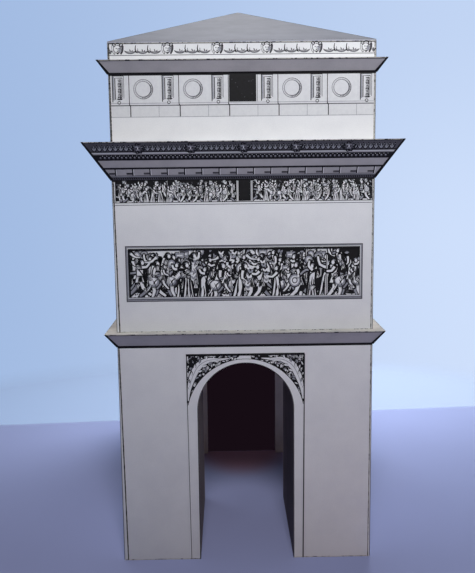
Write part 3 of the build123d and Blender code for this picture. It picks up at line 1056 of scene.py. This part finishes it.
def matPaper(tree, place, colour):
    noise = addNode(tree, "TexNoise", {"Vector": place, "Scale": perMetre(paperDrift["size"]), "Detail": 3.0})
    amount = addNode(tree, "MapRange", {
        "Value": noise, "To Min": paperDrift["least"], "To Max": paperDrift["most"]})
    return addNode(tree, "VectorMath", {"operation": "SCALE", 0: colour, "Scale": amount})


def floorMask(tree, place, look):
    if "point" in look:
        measure = {"operation": "DISTANCE", 1: (*times(mm, *look["point"]), 0)}
    else:
        turn = math.radians(look["turn"])
        measure = {"operation": "DOT_PRODUCT", 1: (-math.sin(turn), math.cos(turn), 0)}
    away = addNode(tree, "VectorMath", {**measure, 0: place})
    return addNode(tree, "MapRange", {
        "interpolation_type": "SMOOTHSTEP", "Value": away,
        "From Min": look["grows"][0] * mm, "From Max": look["grows"][1] * mm})


def floorPaper(look):
    made, tree, place = newMaterial("matt_floor_paper")
    narrowed = addNode(tree, "VectorMath", {"operation": "MULTIPLY", 0: place, 1: (look["squeeze"], 1, 0)})
    masks = {name: floorMask(tree, narrowed if name == "paintedPassageShade" else place, look[name])
             for name in ("paintedPassageShade", "before", "paler", "second", "fade")}
    masks["paintedPassageShade"] = addNode(tree, "Math", {"operation": "MULTIPLY", 0: masks["paintedPassageShade"], 1: masks["before"]})
    tint = hexColour(look["colour"])
    # painted shade in the dark passage, painted light far out, then the sheet behind
    for name in ("paintedPassageShade", "paler", "second"):
        tint = addNode(tree, "Mix", {
            "data_type": "RGBA", 0: masks[name], 6: tint, 7: hexColour(look[name]["colour"])})
    paper = addNode(tree, "BsdfDiffuse", {"Color": matPaper(tree, place, tint), "Roughness": 0.6})
    clear = masks["second"]
    seen = addNode(tree, "LightPath", {}, "Is Camera Ray")
    for operation, other in (
            ("MULTIPLY", look["second"]["clear"]), ("MAXIMUM", masks["fade"]), ("MULTIPLY", seen)):
        clear = addNode(tree, "Math", {"operation": operation, 0: clear, 1: other})
    away = addNode(tree, "BsdfTransparent", {})
    surface = addNode(tree, "MixShader", {0: clear, 1: paper, 2: away})
    addNode(tree, "OutputMaterial", {"Surface": surface})
    return made


# Painted shade: a dark sheet across the back passage, where no light comes, the same from both sides. The
# camera sees its colour as the passage's painted shade, and the passage gets its painted dim glow, though the
# sheet is no lamp. Sizes in mm.
passageShade = {
    "colour": "160d14", "glow": "5c4a50", "radius": 13.97, "spring": 46.4, "deep": 25.0, "foot": -0.3}


def shadePaper(look):
    made, tree, place = newMaterial("dark_matt_board")
    # painted shade and painted glow: dark to the camera, a dim warm glow to every other ray
    seen = addNode(tree, "LightPath", {}, "Is Camera Ray")
    tone = addNode(tree, "Mix", {
        "data_type": "RGBA", 0: seen, 6: hexColour(look["glow"]), 7: hexColour(look["colour"])})
    dark = addNode(tree, "Emission", {"Color": matPaper(tree, place, tone)})
    addNode(tree, "OutputMaterial", {"Surface": dark})
    return made


def makeStage(floor, shadeSheet):
    reach = floor["size"] / 2
    corners = [(-reach, -reach, 0), (reach, -reach, 0), (reach, reach, 0), (-reach, reach, 0)]
    outline = [(-shadeSheet["radius"], shadeSheet["foot"]), (shadeSheet["radius"], shadeSheet["foot"])]
    outline += arc(0, shadeSheet["spring"], shadeSheet["radius"], 0, 180)
    for name, points, material in (
            ("floor", corners, floorPaper(floor)),
            ("far_opening_shade", [(u, shadeSheet["deep"], v) for u, v in outline], shadePaper(shadeSheet))):
        plane = newPiece(name, [Vector(p) * mm for p in points], [range(len(points))], material)


makeStage(floorLook, passageShade)

# Soft boxes in mm, with power in watts and the cone in degrees that each one fills. "skips" and
# "only" are parts of names: the side boxes stay out of the dark passages and off the floor.
sideBox = {"size": 200, "cone": 80, "power": 0.15, "colour": "fff9f2",
           "skips": ("floor", "passage", "back_pier_front", "inner_")}
softBoxes = {
    "key_box": {"at": (125, -310, 275), "towards": (20, -67, 185), "size": 170, "cone": 62, "power": 0.1495,
                "colour": "ffffff", "skips": ("floor", "back_pier_front", "inner_")},
    "low_box": {"at": (55, -165, 16), "towards": (25, -67, 12), "size": 30, "cone": 150, "power": 0.0072,
                "colour": "ffd9c4", "skips": ("floor", "inner_")},
    "right_box": {"at": (330, 40, 260), "towards": (37, 0, 110), **sideBox},
    "left_box": {"at": (-330, 40, 260), "towards": (-37, 0, 110), **sideBox},
    "back_box": {"at": (0, 370, 260), "towards": (0, 67, 130), "size": 170, "cone": 75, "power": 0.07,
                 "colour": "ffffff", "skips": ("floor", "passage")},
    "floor_front_box": {"at": (4, -335, 295), "towards": (0, -30, 0), "size": 85, "cone": 100, "power": 0.2,
                        "colour": "fff1f1", "only": ("floor",)},
    "floor_back_box": {"at": (60, 190, 220), "towards": (60, 90, 0), "size": 160, "cone": 90, "power": 0.419,
                       "colour": "ffffff", "only": ("floor",)},
    "floor_left_box": {"at": (-150, 135, 300), "towards": (-110, 85, 0), "size": 220, "cone": 80,
                       "power": 0.11, "colour": "ffffff", "only": ("floor",)},
}


def makeLight(name, look):
    lamp = bpy.data.lights.new(name, "AREA")
    lamp.shape, lamp.size, lamp.energy = "DISK", look["size"] * mm, look["power"]
    lamp.spread, lamp.color = math.radians(look["cone"]), hexColour(look["colour"])[:3]
    made = bpy.data.objects.new(name, lamp)
    made.location = Vector(look["at"]) * mm
    made.rotation_euler = (Vector(look["towards"]) - Vector(look["at"])).to_track_quat("-Z", "Y").to_euler()
    bpy.context.scene.collection.objects.link(made)
    key, state = ("only", "INCLUDE") if "only" in look else ("skips", "EXCLUDE")
    linked = bpy.data.collections.new(f"{name}_{key}")
    for part in bpy.data.objects:
        if part.type == "MESH" and any(word in part.name for word in look[key]):
            linked.objects.link(part)
    made.light_linking.receiver_collection = linked
    for held in linked.collection_objects:
        held.light_linking.link_state = state


# The room's fill, and the backdrop that only the camera sees. "sides" and "rise" are directions: the backdrop
# gets paler from left to right, painted light as if falling from the right, and less so higher up.
fill = {"level": 0.09, "colour": "e2e9fb", "left": "a2bbe2", "right": "cfe0fc",
        "sides": (-0.334, 0.338), "rise": (-0.098, 0.199), "highShare": 0.67}


def makeWorld(look):
    world = bpy.data.worlds.new("studio_fill")
    world.use_nodes = True
    tree = world.node_tree
    tree.nodes.clear()
    direction = addNode(tree, "TexCoord", {}, "Generated")
    side, high = (addNode(tree, "MapRange", {
        "interpolation_type": "SMOOTHSTEP", "Value": addNode(tree, "SeparateXYZ", {0: direction}, axis),
        "From Min": look[key][0], "From Max": look[key][1], "To Min": first, "To Max": last})
        for axis, key, first, last in (("X", "sides", 0.0, 1.0), ("Z", "rise", 1.0, look["highShare"])))
    share = addNode(tree, "Math", {"operation": "MULTIPLY", 0: side, 1: high})
    colour = addNode(tree, "Mix", {
        "data_type": "RGBA", 0: share, 6: hexColour(look["left"]), 7: hexColour(look["right"])})
    soft = addNode(tree, "Background", {"Color": hexColour(look["colour"]), "Strength": look["level"]})
    pale = addNode(tree, "Background", {"Color": colour})
    seen = addNode(tree, "LightPath", {}, "Is Camera Ray")
    mixed = addNode(tree, "MixShader", {0: seen, 1: soft, 2: pale})
    addNode(tree, "OutputWorld", {"Surface": mixed})
    bpy.context.scene.world = world


for name, look in softBoxes.items():
    makeLight(name, look)
makeWorld(fill)
bpy.context.scene.view_settings.view_transform = "Standard"
print("stage: floor, backdrop and lights set")
